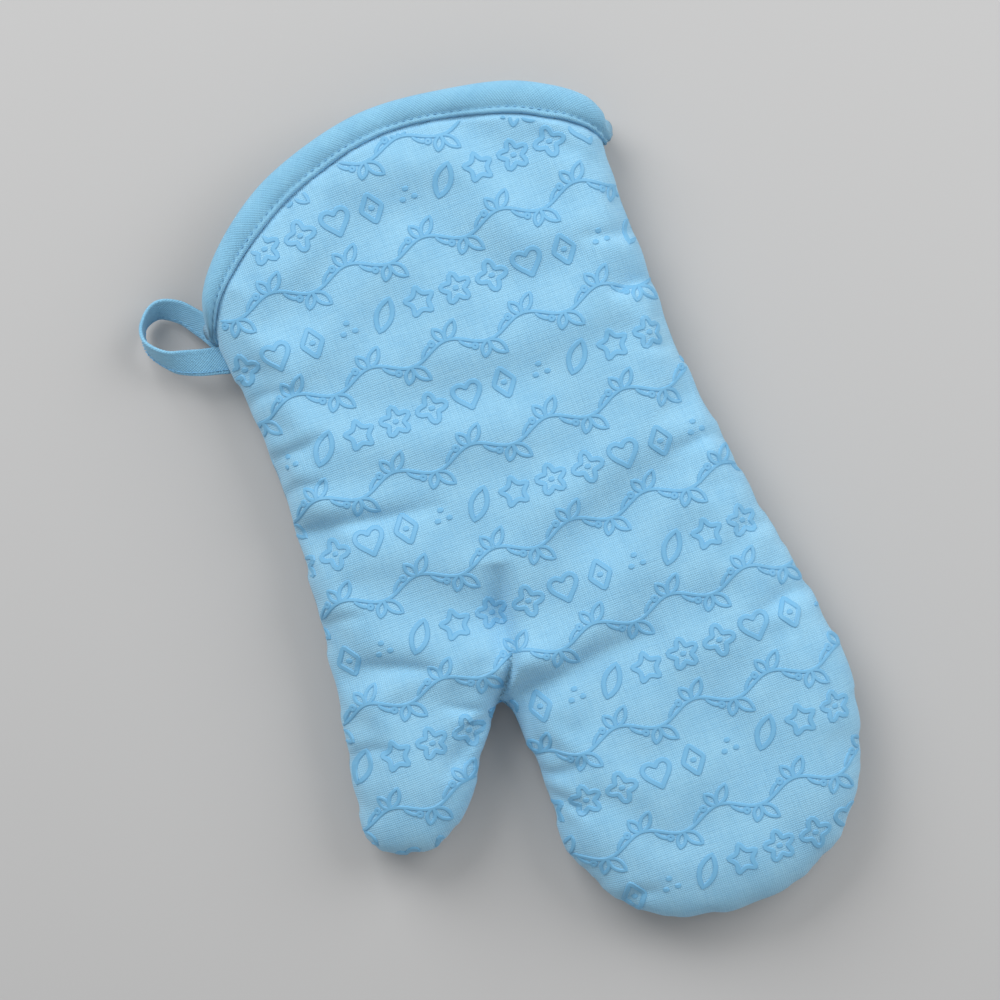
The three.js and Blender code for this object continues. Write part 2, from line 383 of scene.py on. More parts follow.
def blown_up(bag, hold):
    """The places that the bag's points come to as cloth, under pressure from inside."""
    group = bag.vertex_groups.new(name="hold")
    for index, weight in enumerate(hold):
        group.add([index], float(weight), "REPLACE")
    modifier = bag.modifiers.new("cloth", "CLOTH")
    cloth = modifier.settings
    cloth.quality = CLOTH_QUALITY
    cloth.mass = CLOTH_MASS
    cloth.tension_stiffness = STRETCH_STIFFNESS
    cloth.compression_stiffness = STRETCH_STIFFNESS
    cloth.shear_stiffness = SHEAR_STIFFNESS
    cloth.bending_stiffness = BEND_STIFFNESS
    cloth.tension_damping = STRETCH_DAMPING
    cloth.compression_damping = STRETCH_DAMPING
    cloth.shear_damping = STRETCH_DAMPING
    cloth.bending_damping = BEND_DAMPING
    cloth.air_damping = AIR_DAMPING
    cloth.use_pressure = True
    cloth.uniform_pressure_force = PRESSURE
    cloth.vertex_group_mass = "hold"
    cloth.pin_stiffness = 1
    cloth.shrink_min = -GROWTH
    cloth.effector_weights.gravity = 0
    modifier.collision_settings.use_collision = False
    modifier.collision_settings.use_self_collision = False
    modifier.point_cache.frame_start = 1
    modifier.point_cache.frame_end = FRAMES
    scene = bpy.context.scene
    for number in range(1, FRAMES + 1):
        scene.frame_set(number)
    graph = bpy.context.evaluated_depsgraph_get()
    places = np.array([vertex.co[:] for vertex in bag.evaluated_get(graph).data.vertices])
    bag.modifiers.clear()
    scene.frame_set(1)
    return places


bag, hold, bag_from_seam = sewn_bag()
join_into_quads(bag.data)
sewn_places = np.array([vertex.co[:] for vertex in bag.data.vertices])
moved = blown_up(bag, hold) - sewn_places
near_edge = np.clip(1 - bag_from_seam / EDGE_REACH, 0, 1)[:, None]
moved *= MIDDLE_SHARE + (1 - MIDDLE_SHARE) * near_edge
bag.data.vertices.foreach_set("co", (sewn_places + moved).ravel())
bag.data.shade_smooth()
smoother = bag.modifiers.new("smoother", "SUBSURF")
smoother.levels = SUBDIVISIONS
smoother.render_levels = SUBDIVISIONS
settle(bag)


def waviness(flat):
    """The padding's own soft unevenness: slow waves that cross the cloth in many directions."""
    draw = np.random.default_rng(WAVE_SEED)
    total = np.zeros(len(flat))
    for turn, length, start in zip(
        draw.uniform(0, np.pi, WAVES), draw.uniform(*WAVE_LENGTHS, WAVES), draw.uniform(0, 2 * np.pi, WAVES)
    ):
        heading = np.array([np.cos(turn), np.sin(turn)])
        total += np.sin(flat @ heading * 2 * np.pi / length + start)
    return total * WAVE_HEIGHT / math.sqrt(WAVES)


def folded(flat, from_seam):
    """How far the folds draw the cloth in, at each of its points."""
    depth = waviness(flat)
    valleys = np.zeros(len(flat))
    for stops, left, right, most, lip, from_edge in FOLDS:
        away, along, side = beside(flat, smooth_line(stops, FOLD_STEP))
        fade = (1 - along if from_edge else np.sin(np.pi * along)) ** FOLD_FADE
        off = away / np.where(side > 0, left, right)
        valley = np.exp(VALLEY_PEAK - VALLEY_FALL * np.sqrt(off**2 + VALLEY_ROUND))
        shoulder = np.exp(-(((off * side * np.sign(lip) - LIP_PLACE) / LIP_WIDTH) ** 2))
        valleys += (fade * most * valley) ** JOINING
        depth -= fade * abs(lip) * shoulder
    depth += valleys ** (1 / JOINING)
    deepest = SEAM_FOLD + DEEPEST_FOLD * rounded(from_seam, PALM_RISE)
    return deepest * np.tanh(depth / deepest)


def smoothed_normals(mesh, passes):
    """The mesh's outward directions, evened out between neighbours."""
    edges = np.zeros(len(mesh.edges) * 2, np.int32)
    mesh.edges.foreach_get("vertices", edges)
    first, second = edges.reshape(-1, 2).T
    out = np.zeros(len(mesh.vertices) * 3, np.float32)
    mesh.vertex_normals.foreach_get("vector", out)
    out = out.reshape(-1, 3).astype(float)
    for _ in range(passes):
        total = np.stack([
            np.bincount(first, axis[second], len(out)) + np.bincount(second, axis[first], len(out))
            for axis in out.T
        ], axis=1)
        out = total + out
        out /= np.linalg.norm(out, axis=1)[:, None]
    return out


def face_corners(mesh):
    """The number of the point at each corner of each face."""
    corners = np.zeros(len(mesh.loops), np.int32)
    mesh.loops.foreach_get("vertex_index", corners)
    return corners


def chart(name, mesh, outward, side):
    """One half of the bag as flat cloth, which knows where each of its points goes and which way is out."""
    halves = np.zeros(len(mesh.polygons), np.int32)
    mesh.polygons.foreach_get("material_index", halves)
    faces = face_corners(mesh).reshape(-1, 4)[halves == side]
    used, renumbered = np.unique(faces, return_inverse=True)
    if side:
        renumbered = renumbered.reshape(-1, 4)[:, ::-1]
    made = new_object(name, vectors(mesh, "flat")[used] * MM, renumbered.reshape(-1, 4).tolist())
    places = np.array([vertex.co[:] for vertex in mesh.vertices])
    keep_vectors(made.data, "place", places[used])
    keep_vectors(made.data, "out", outward[used])
    return made


PALM, BACK = 0, 1
places = np.array([vertex.co[:] for vertex in bag.data.vertices])
flat_places = vectors(bag.data, "flat")[:, :2]
fine_from_seam = beside(flat_places, side_seam(BAG_MESH))[0]
outward = smoothed_normals(bag.data, NORMAL_PASSES)
on_palm = outward[:, 2] > 0
places[:, 2] -= np.where(on_palm, folded(flat_places, fine_from_seam), 0) * MM
places[:, 2] = np.maximum(places[:, 2], LEAST_HEIGHT * MM)
bag.data.vertices.foreach_set("co", places.ravel())
bag.data.update()
charts = {
    "palm": chart("palm_chart", bag.data, outward, PALM),
    "back": chart("back_chart", bag.data, outward, BACK),
}
bpy.data.objects.remove(bag)


def add(tree, kind, inputs=None, **settings):
    """A new node. Each of its inputs takes a value, or another node's output."""
    node = tree.nodes.new(kind)
    for name, value in settings.items():
        setattr(node, name, value)
    for key, value in (inputs or {}).items():
        if isinstance(value, bpy.types.NodeSocket):
            tree.links.new(value, node.inputs[key])
        else:
            node.inputs[key].default_value = value
    return node


def new_tree(name, inputs):
    """A Geometry Nodes tree that turns one geometry into another, with further named inputs."""
    tree = bpy.data.node_groups.new(name, "GeometryNodeTree")
    tree.interface.new_socket("Geometry", in_out="INPUT", socket_type="NodeSocketGeometry")
    for label, kind in inputs.items():
        tree.interface.new_socket(label, in_out="INPUT", socket_type=f"NodeSocket{kind}")
    tree.interface.new_socket("Geometry", in_out="OUTPUT", socket_type="NodeSocketGeometry")
    return tree, add(tree, "NodeGroupInput").outputs


def apply_tree(piece, tree, values):
    """Puts a tree on a piece with these input values, and turns the result into its mesh."""
    modifier = piece.modifiers.new(tree.name, "NODES")
    modifier.node_group = tree
    for socket in tree.interface.items_tree:
        if socket.in_out == "INPUT" and socket.name in values:
            modifier[socket.identifier] = values[socket.name]
    return settle(piece)


# Lays flat work on a chart: a point at (x, y) on the cloth and z above it goes to the chart's place for
# (x, y), moved z outwards
laying, given = new_tree("lay on the cloth", {"Chart": "Object", "Finish": "Material"})
chart_mesh = add(laying, "GeometryNodeObjectInfo", {"Object": given["Chart"]}).outputs["Geometry"]
where = add(laying, "ShaderNodeSeparateXYZ", {"Vector": add(laying, "GeometryNodeInputPosition").outputs[0]})
on_cloth = add(laying, "ShaderNodeCombineXYZ", {"X": where.outputs["X"], "Y": where.outputs["Y"]})
found = {}
for name in ("place", "out"):
    stored = add(laying, "GeometryNodeInputNamedAttribute", {"Name": name}, data_type="FLOAT_VECTOR")
    found[name] = add(
        laying, "GeometryNodeSampleNearestSurface",
        {"Mesh": chart_mesh, "Value": stored.outputs["Attribute"], "Sample Position": on_cloth.outputs[0]},
        data_type="FLOAT_VECTOR",
    ).outputs["Value"]
raised = add(
    laying, "ShaderNodeVectorMath", {0: found["out"], "Scale": where.outputs["Z"]}, operation="SCALE"
)
laid = add(laying, "ShaderNodeVectorMath", {0: found["place"], 1: raised.outputs[0]}, operation="ADD")
set_down = add(
    laying, "GeometryNodeSetPosition", {"Geometry": given["Geometry"], "Position": laid.outputs[0]}
)
realized = add(laying, "GeometryNodeRealizeInstances", {"Geometry": set_down.outputs[0]})
finished = add(
    laying, "GeometryNodeSetMaterial", {"Geometry": realized.outputs[0], "Material": given["Finish"]}
)
add(laying, "NodeGroupOutput", {"Geometry": finished.outputs[0]})


def lay(piece, side, finish):
    """Lays a flat piece on one half of the bag, and gives it its material."""
    apply_tree(piece, laying, {"Chart": charts[side], "Finish": finish})
    if side == "back":
        piece.data.flip_normals()
    return piece


def cut_map(mesh, across, along):
    """The piece's UV map: its place on its own cloth, in metres."""
    flat = np.column_stack([across, along])[face_corners(mesh)]
    mesh.uv_layers.new(name="cut").data.foreach_set("uv", flat.astype(np.float32).ravel())


# Each layer below is given by how deep its outer and its inner face lie below the bag's outside, in
# millimetres: one pair where it lies free, and one where the binding's stitching presses it. The pressed
# part starts at the binding's lower edge, and this far below it the layer is free
PRESSED_REACH = 2.4
BINDING_EDGE = [
    (-86, 102.5), (-76, 118), (-57, 134), (-30, 148), (5, 155), (44, 148), (64, 139), (76, 131),
    (82.3, 123.4),
]
ROWS_NEAR_SEAM = (0.7, 1.6, 2.8)
SEAM_DEPTH_SHARE = 0.35  # of its full depth that a layer keeps at the side seam, where all are sewn as one
SEAM_DEPTH_REACH = 10
GROOVE_REACH = 1.4
# Under folds deeper than this, the palm's inner layers are tucked further in, by so much, out to this far
DEEP_FOLD = 6.0
TUCK = 3.5
TUCK_REACH = 4.5


def pressed_share(flat):
    """0 where a layer lies free, 1 under the binding, and between in the last few millimetres below it."""
    away, _, above = beside(flat, smooth_line(BINDING_EDGE, BAG_MESH))
    share = np.clip(1 + away * above / PRESSED_REACH, 0, 1)
    return share * share * (3 - 2 * share)


def tucked(flat):
    """How much deeper the inner layers lie under the deepest folds."""
    depth = np.zeros(len(flat))
    for stops, _, _, most, _, _ in FOLDS:
        if most > DEEP_FOLD:
            away = beside(flat, smooth_line(stops, FOLD_STEP))[0]
            depth += TUCK * np.exp(-((away / TUCK_REACH) ** 2))
    return depth


def layer(name, spacing, inset, free, pressed, groove=0.0, tuck=False):
    """A layer of the bag as a flat closed slab. It may have a groove along its edge at the side seam, or be
    tucked in under the deep folds."""
    outline = panel_outline(spacing, inset, 0)
    flat, faces = cut_flat(outline, spacing, ROWS_NEAR_SEAM)
    share = pressed_share(flat)
    from_seam = beside(flat, side_seam(BAG_MESH))[0]
    hollow = groove * np.exp(-((from_seam / GROOVE_REACH) ** 2))
    if tuck:
        hollow += tucked(flat)
    kept = np.clip(SEAM_DEPTH_SHARE + from_seam / SEAM_DEPTH_REACH, 0, 1)
    outer = (free[0] + (pressed[0] - free[0]) * share) * kept + hollow
    inner = (free[1] + (pressed[1] - free[1]) * share) * kept + hollow
    count = len(flat)
    rim = {}
    for face in faces:
        for start, end in zip(face, (*face[1:], face[0])):
            if (end, start) in rim:
                del rim[end, start]
            else:
                rim[start, end] = True
    walls = [(end, start, start + count, end + count) for start, end in rim]
    below = [tuple(index + count for index in reversed(face)) for face in faces]
    points = np.vstack([np.column_stack([flat, -outer]), np.column_stack([flat, -inner])])
    slab = new_object(name, points * MM, [tuple(face) for face in faces] + below + walls)
    both = np.vstack([flat, flat]) * MM
    cut_map(slab.data, both[:, 0], both[:, 1])
    slab.data.shade_smooth()
    return slab


# ---- Lining
# Two panels of undyed cotton calico, the inside of the bag. They are sewn to each other round the sides
# and caught under the binding at the cuff.

INNER_MESH = 2.4
LINING_INSET = 2.5
LINING_FREE = (5.6, 6.4)
LINING_PRESSED = (4.4, 5.1)
CALICO_PITCH = 0.9 * MM
CALICO_COLOURS = ("#e9e4d8", "#d5cebd")
CALICO_RELIEF = 0.12 * MM
CALICO_SHEEN = 0.15
CALICO_PATCH = 9 * MM
YARN_STRETCH = 0.07  # how a yarn's thick and thin places change along it, against across it
# The crossings' weight is painted shade: it colours the yarn crests paler and the gaps between the yarns
# darker, following the weave's bump
SLUB_SHADE, GAP_PAINTED_SHADE, DYE_SHADE, PALE_START = 0.6, -0.35, 0.8, -0.5
SLUB_RELIEF = 0.9
# A colour Mix node's two colour inputs and its colour output
MIX_FIRST, MIX_SECOND, MIX_COLOUR = 6, 7, 2


def linear(hex_colour):
    """A linear colour from an sRGB hex one."""
    shares = [int(hex_colour[i : i + 2], 16) / 255 for i in (1, 3, 5)]
    return (*[s / 12.92 if s <= 0.04045 else ((s + 0.055) / 1.055) ** 2.4 for s in shares], 1)


def new_material(name):
    """A material with an empty node tree."""
    material = bpy.data.materials.new(name)
    material.use_nodes = True
    material.node_tree.nodes.clear()
    return material, material.node_tree


def woven_cloth(name, colours, pitch, turn, relief, sheen, patch):
    """Plain-woven cotton: matt, with a grid of crossings whose crests are painted paler and whose gaps
    between yarns are darkened as painted shade, uneven yarns that show as fine streaks both ways, and a soft
    unevenness of the dye in patches."""
    material, tree = new_material(name)
    cut = add(tree, "ShaderNodeUVMap", uv_map="cut").outputs["UV"]
    turned = add(tree, "ShaderNodeMapping", {"Vector": cut, "Rotation": (0, 0, turn)}).outputs[0]
    yarns = add(tree, "ShaderNodeVectorMath", {0: turned, "Scale": math.pi / pitch}, operation="SCALE")
    yarn = add(tree, "ShaderNodeSeparateXYZ", {"Vector": yarns.outputs[0]}).outputs
    waves = []
    for way in ("X", "Y"):
        wave = add(tree, "ShaderNodeMath", {0: yarn[way]}, operation="SINE").outputs[0]
        waves.append(add(tree, "ShaderNodeMath", {0: wave}, operation="ABSOLUTE").outputs[0])
    crossing = add(tree, "ShaderNodeMath", {0: waves[0], 1: waves[1]}, operation="MULTIPLY").outputs[0]
    slubs = []
    for stretch in ((1 / pitch, YARN_STRETCH / pitch, 1), (YARN_STRETCH / pitch, 1 / pitch, 1)):
        along = add(tree, "ShaderNodeMapping", {"Vector": turned, "Scale": stretch}).outputs[0]
        slubs.append(add(
            tree, "ShaderNodeTexNoise", {"Vector": along, "Scale": 1.0, "Detail": 2.0, "Roughness": 0.6}
        ).outputs["Fac"])
    slub = add(tree, "ShaderNodeMath", {0: slubs[0], 1: slubs[1]}, operation="ADD").outputs[0]
    dye = add(
        tree, "ShaderNodeTexNoise", {"Vector": cut, "Scale": 1 / patch, "Detail": 3.0, "Roughness": 0.5}
    ).outputs["Fac"]
    # The mix of the two colours: random tone from the yarns and the dye, plus painted shade in the gaps
    # between the yarns from the crossings
    tone_and_gap_shade = PALE_START
    for part, share in ((slub, SLUB_SHADE), (crossing, GAP_PAINTED_SHADE), (dye, DYE_SHADE)):
        tone_and_gap_shade = add(
            tree, "ShaderNodeMath", {0: part, 1: share, 2: tone_and_gap_shade}, operation="MULTIPLY_ADD"
        ).outputs[0]
    colour = add(
        tree, "ShaderNodeMix",
        {"Factor": tone_and_gap_shade, MIX_FIRST: linear(colours[0]), MIX_SECOND: linear(colours[1])}, data_type="RGBA",
    ).outputs[MIX_COLOUR]
    height = add(
        tree, "ShaderNodeMath", {0: slub, 1: SLUB_RELIEF, 2: crossing}, operation="MULTIPLY_ADD"
    ).outputs[0]
    bump = add(tree, "ShaderNodeBump", {"Height": height, "Strength": 1.0, "Distance": relief})
    surface = add(tree, "ShaderNodeBsdfPrincipled", {
        "Base Color": colour,
        "Roughness": 0.88,
        "Specular IOR Level": 0.25,
        "Sheen Weight": sheen,
        "Sheen Roughness": 0.6,
        "Normal": bump.outputs[0],
    })
    add(tree, "ShaderNodeOutputMaterial", {"Surface": surface.outputs[0]})
    return material


calico = woven_cloth(
    "undyed_cotton_calico", CALICO_COLOURS, CALICO_PITCH, 0, CALICO_RELIEF, CALICO_SHEEN, CALICO_PATCH
)
for side in ("palm", "back"):
    slab = layer(
        f"{side}_lining_cloth", INNER_MESH, LINING_INSET, LINING_FREE, LINING_PRESSED,
        tuck=side == "palm",
    )
    piece = lay(slab, side, calico)
    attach(piece, "mitt")
    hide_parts(f"{side}_lining")

# ---- Wadding
# Two sheets of springy polyester fibrefill between the lining and the shell. They keep the heat out and
# give the mitt its rounded sides.

WADDING_INSET = 1.5
WADDING_FREE = (1.3, 5.3)
WADDING_PRESSED = (2.9, 4.1)
FIBRE_COLOURS = ("#f6f4ee", "#dedbd2")
FIBRE_LENGTH = 6 * MM
FIBRE_SPACING = 0.35 * MM
FIBRE_RELIEF = 0.3 * MM


def fibre_wadding(name):
    """Bonded polyester fibres: dull white and fuzzy, with fine hairs lying every way in the sheet."""
    material, tree = new_material(name)
    cut = add(tree, "ShaderNodeUVMap", uv_map="cut").outputs["UV"]
    stretched = add(
        tree, "ShaderNodeMapping", {"Vector": cut, "Scale": (1 / FIBRE_SPACING, 1 / FIBRE_LENGTH, 1)}
    ).outputs[0]
    hairs = add(
        tree, "ShaderNodeTexNoise",
        {"Vector": stretched, "Scale": 1.0, "Detail": 4.0, "Roughness": 0.7, "Distortion": 1.5},
    ).outputs["Fac"]
    shade = add(tree, "ShaderNodeValToRGB", {"Fac": hairs})
    shade.color_ramp.elements[0].color = linear(FIBRE_COLOURS[1])
    shade.color_ramp.elements[1].color = linear(FIBRE_COLOURS[0])
    bump = add(tree, "ShaderNodeBump", {"Height": hairs, "Strength": 1.0, "Distance": FIBRE_RELIEF})
    surface = add(tree, "ShaderNodeBsdfPrincipled", {
        "Base Color": shade.outputs[0],
        "Roughness": 1.0,
        "Specular IOR Level": 0.1,
        "Sheen Weight": 0.4,
        "Normal": bump.outputs[0],
    })
    add(tree, "ShaderNodeOutputMaterial", {"Surface": surface.outputs[0]})
    return material


fibrefill = fibre_wadding("bonded_polyester_fibrefill")
for side in ("palm", "back"):
    slab = layer(
        f"{side}_wadding_sheet", INNER_MESH, WADDING_INSET, WADDING_FREE, WADDING_PRESSED,
        tuck=side == "palm",
    )
    piece = lay(slab, side, fibrefill)
    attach(piece, "mitt")
    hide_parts(f"{side}_wadding")

# ---- Shell
# Two panels of dyed cotton canvas, the outside of the bag. Each is seamed to the other all round, and
# turned so that the seam is a shallow groove along the edge.

SHELL_MESH = 1.25
SHELL_FREE = (0.0, 1.0)
SHELL_PRESSED = (2.0, 2.7)
SHELL_INSET = 0.25
SEAM_GROOVE = 0.6
CANVAS_PITCH = 0.8 * MM
CANVAS_COLOURS = ("#95cae6", "#75b2d8")
CANVAS_RELIEF = 0.17 * MM
CANVAS_SHEEN = 0.2
CANVAS_PATCH = 14 * MM

canvas = woven_cloth(
    "dyed_cotton_canvas", CANVAS_COLOURS, CANVAS_PITCH, 0, CANVAS_RELIEF, CANVAS_SHEEN, CANVAS_PATCH
)
for side in ("palm", "back"):
    slab = layer(f"{side}_shell_cloth", SHELL_MESH, SHELL_INSET, SHELL_FREE, SHELL_PRESSED, SEAM_GROOVE)
    piece = lay(slab, side, canvas)
    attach(piece, "mitt")
    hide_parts(f"{side}_shell")

# ---- Raised print
# Rows of silicone ornament printed on the canvas before it was cut, for grip: small figures in bold
# strokes, and between them running vines in thinner ones. The seams and the binding cut through the rows.

FIGURE_ROWS = [130, 90.5, 51.5, 12.5, -27, -66, -105, -146]
VINE_ROWS = [149, 110.5, 71.5, 32, -7, -46.5, -86, -126]
FIGURE_SIZE = 11.5
FIGURE_PITCH = 14.2
FIGURE_STROKE = 1.9
VINE_STROKE = 1.4
VINE_WAVE = 30.0
VINE_SWING = 2.6
BENDS = 12  # of a vine, each way from its middle
LONG_LEAF = (8.0, 3.6)  # length and width
SHORT_LEAF = (6.0, 3.0)
LONG_LEAF_TURN, SHORT_LEAF_TURN = math.radians(52), math.radians(118)
# A bud's stalk, from a bend that swings up
STALK = np.array([(4.2, 1.56), (5.4, -0.64), (7.4, -2.44), (9.4, -3.04)])
BUD_RADIUS = 0.8
SHORTEST_LINE = 4  # in points: shorter remains of a line at a seam are left out
RELIEF = 0.42
SUNK = 0.4
EDGE_ROUND = 0.4  # as a share of a stroke's thickness
PRINT_EDGE = 1.6  # how close to a seam a stroke's middle comes
ROW_REACH = 125
ROW_WANDER, ROW_WANDER_REACH, ROW_SHIFT = 0.8, 35, 5
END_FULLNESS = (0.35, 0.8, 1.0)  # a stroke's thickness at the first points from its end
SILICONE_COLOUR = "#70aed4"
SILICONE_RIPPLE = 0.05 * MM
SILICONE_RIPPLE_LENGTH = 1.4 * MM
TURN = np.linspace(0, 2 * np.pi, 37)[:-1]


def ring(radius_at):
    """A closed outline with its radius given by angle."""
    radius = radius_at(TURN)
    return np.column_stack([radius * np.sin(TURN), radius * np.cos(TURN)])


def edged(corners, steps):
    """A closed outline with straight sides, in short steps."""
    corners = np.array(corners, float)
    share = np.linspace(0, 1, steps, endpoint=False)[:, None]
    return np.vstack([a + (b - a) * share for a, b in zip(corners, np.roll(corners, -1, axis=0))])


def relaxed(outline, times):
    """A closed outline with its corners rounded off."""
    for _ in range(times):
        outline = (np.roll(outline, 1, axis=0) + 2 * outline + np.roll(outline, -1, axis=0)) / 4
    return outline


def leaf_outline(length, width, turn):
    """A pointed leaf that grows from the origin."""
    share = np.linspace(0, 1, 13)
    half = width / 2 * np.sin(np.pi * share) ** 0.8
    there = np.column_stack([share * length, half])
    back = np.column_stack([share * length, -half])[-2:0:-1]
    cos, sin = math.cos(turn), math.sin(turn)
    return np.vstack([there, back]) @ np.array([[cos, sin], [-sin, cos]])


heart = np.column_stack([
    np.sin(TURN) ** 3 * 0.5,
    (13 * np.cos(TURN) - 5 * np.cos(2 * TURN) - 2 * np.cos(3 * TURN) - np.cos(4 * TURN)) / 32 + 0.06,
])
heart = relaxed(heart, 5)
flower = ring(lambda angle: 0.38 + 0.11 * np.cos(5 * angle))
quatrefoil = ring(lambda angle: 0.37 + 0.12 * np.cos(4 * angle))
diamond = relaxed(edged([(0, 0.5), (0.36, 0), (0, -0.5), (-0.36, 0)], 7), 1)
star_points = [
    (math.sin(k * math.pi / 5) * reach, math.cos(k * math.pi / 5) * reach)
    for k, reach in enumerate([0.54, 0.25] * 5)
]
star = relaxed(edged(star_points, 4), 2)
leaf = leaf_outline(1.1, 0.5, math.radians(55)) - [0.31, 0.45]
dot = np.column_stack([np.linspace(-0.1, 0.1, 7), np.zeros(7)])
# Each figure is a list of lines, each with whether it is closed
FIGURES = [
    [(heart, True)],
    [(flower, True), (dot, False)],
    [(leaf, True)],
    [(diamond, True), (dot, False)],
    [(quatrefoil, True), (dot, False)],
    [(star, True)],
    [(dot + [0, 0.2], False), (dot + [0.2, -0.12], False), (dot - [0.2, 0.12], False)],
]


def figure_row(middle, number):
    """One row of figures, as closed lines on the flat cloth."""
    lines = []
    for step, x in enumerate(np.arange(-ROW_REACH, ROW_REACH, FIGURE_PITCH)):
        y = middle + ROW_WANDER * math.sin(x / ROW_WANDER_REACH + number)
        for line, closed in FIGURES[(step * 3 + number * 2) % len(FIGURES)]:
            lines.append((line * FIGURE_SIZE + [x + ROW_SHIFT * (number % 3), y], closed))
    return lines


def vine_row(middle, number):
    """One running vine, as lines on the flat cloth: its stem, a leaf at each bend, and a bud on a stalk."""
    x = np.arange(-ROW_REACH, ROW_REACH, 1.0)
    rate = 2 * math.pi / VINE_WAVE
    lines = [(np.column_stack([x, middle + VINE_SWING * np.sin(rate * x + number)]), False)]
    first = (math.pi / 2 - number) / rate
    for bend in range(-BENDS, BENDS + 1):
        at = first + bend * VINE_WAVE / 2
        up = 1 if bend % 2 == 0 else -1
        foot = np.array([at, middle + up * VINE_SWING])
        lines.append((leaf_outline(*LONG_LEAF, up * LONG_LEAF_TURN) + foot, True))
        stalk = STALK * [1, up] + [at, middle]
        lines.append((smooth_line(stalk, 1.0), False))
        lines.append((ring(lambda angle: np.full(len(angle), BUD_RADIUS)) + stalk[-1], True))
        lines.append((leaf_outline(*SHORT_LEAF, up * SHORT_LEAF_TURN) + foot - [0.6, 0], True))
    return lines


def within(lines, outline):
    """The stretches of the lines that lie inside an outline."""
    edge = np.vstack([outline, outline[:1]])
    points = np.vstack([line for line, _ in lines])
    keep_all = inside(points, outline) & (beside(points, edge)[0] > PRINT_EDGE)
    kept = []
    start = 0
    for line, closed in lines:
        keep = keep_all[start : start + len(line)]
        start += len(line)
        if keep.all():
            kept.append((line, closed))
            continue
        if closed and keep.any():
            turn = int(np.flatnonzero(~keep)[0])
            line, keep = np.roll(line, -turn, axis=0), np.roll(keep, -turn)
        ends = np.flatnonzero(np.diff(np.concatenate([[False], keep, [False]]).astype(int)))
        kept += [(line[a:b], False) for a, b in ends.reshape(-1, 2) if b - a > SHORTEST_LINE]
    return kept


def wire(name, lines, height):
    """Lines on the flat cloth as edges, at one height above it, that thin out to round ends."""
    points = []
    edges = []
    fullness = []
    for line, closed in lines:
        first = len(points)
        number = np.arange(len(line))
        from_end = np.minimum(number, number[::-1]).clip(max=len(END_FULLNESS) - 1)
        fullness += [1.0 if closed else END_FULLNESS[step] for step in from_end]
        points += [(x * MM, y * MM, height * MM) for x, y in line]
        edges += [(i, i + 1) for i in range(first, len(points) - 1)]
        if closed:
            edges.append((len(points) - 1, first))
    mesh = bpy.data.meshes.new(name)
    mesh.from_pydata(points, edges, [])
    mesh.attributes.new("fullness", "FLOAT", "POINT").data.foreach_set("value", fullness)
    return put_in_scene(name, mesh)


# Sweeps a flat bar with rounded edges along each line
printing, given = new_tree("raised strokes", {"Stroke width": "Float", "Stroke depth": "Float"})
strokes = add(printing, "GeometryNodeMeshToCurve", {"Mesh": given["Geometry"]})
level = add(printing, "GeometryNodeSetCurveNormal", {"Curve": strokes.outputs[0]}, mode="Z_UP")
bar = add(
    printing, "GeometryNodeCurvePrimitiveQuadrilateral",
    {"Width": given["Stroke width"], "Height": given["Stroke depth"]}, mode="RECTANGLE",
)
edge_round = add(printing, "ShaderNodeMath", {0: given["Stroke depth"], 1: EDGE_ROUND}, operation="MULTIPLY")
soft_bar = add(printing, "GeometryNodeFilletCurve", {
    "Curve": bar.outputs[0],
    "Count": 1,
    "Radius": edge_round.outputs[0],
    "Limit Radius": True,
}, mode="POLY")
fullness = add(printing, "GeometryNodeInputNamedAttribute", {"Name": "fullness"}, data_type="FLOAT")
swept = add(printing, "GeometryNodeCurveToMesh", {
    "Curve": level.outputs[0],
    "Profile Curve": soft_bar.outputs[0],
    "Scale": fullness.outputs["Attribute"],
    "Fill Caps": True,
})
crisp = add(printing, "GeometryNodeSetShadeSmooth", {"Geometry": swept.outputs[0], "Shade Smooth": False})
add(printing, "NodeGroupOutput", {"Geometry": crisp.outputs[0]})


def printed_silicone(name):
    """Cured silicone ink, dyed to match the canvas: smooth and slightly rubbery, so each stroke has a soft
    gleam along its lit edge and a darker one opposite."""
    material, tree = new_material(name)
    place = add(tree, "ShaderNodeTexCoord").outputs["Object"]
    ripple = add(
        tree, "ShaderNodeTexNoise", {"Vector": place, "Scale": 1 / SILICONE_RIPPLE_LENGTH, "Detail": 2.0}
    )
    bump = add(
        tree, "ShaderNodeBump",
        {"Height": ripple.outputs["Fac"], "Strength": 1.0, "Distance": SILICONE_RIPPLE},
    )
    surface = add(tree, "ShaderNodeBsdfPrincipled", {
        "Base Color": linear(SILICONE_COLOUR),
        "Roughness": 0.5,
        "IOR": 1.41,
        "Normal": bump.outputs[0],
    })
    add(tree, "ShaderNodeOutputMaterial", {"Surface": surface.outputs[0]})
    return material


silicone = printed_silicone("printed_silicone")
lower_edge = smooth_line(BINDING_EDGE, BAG_MESH)
print_outline = np.vstack([side_seam(BAG_MESH), lower_edge[::-1]])
figure_lines = [line for number, y in enumerate(FIGURE_ROWS) for line in figure_row(y, number)]
vine_lines = [line for number, y in enumerate(VINE_ROWS) for line in vine_row(y, number)]
printed_lines = [("figures", figure_lines, FIGURE_STROKE), ("vines", vine_lines, VINE_STROKE)]
for side in ("palm", "back"):
    for name, lines, width in printed_lines:
        piece = wire(f"{side}_print_{name}", within(lines, print_outline), (RELIEF - SUNK) / 2)
        apply_tree(piece, printing, {"Stroke width": width * MM, "Stroke depth": (RELIEF + SUNK) * MM})
        lay(piece, side, silicone)
        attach(piece, "mitt")

# ---- Seams
# Lockstitch in polyester thread: one seam joins the two shell panels and one the two lining panels. The
# shell's stitches lie deep in the groove between its panels.

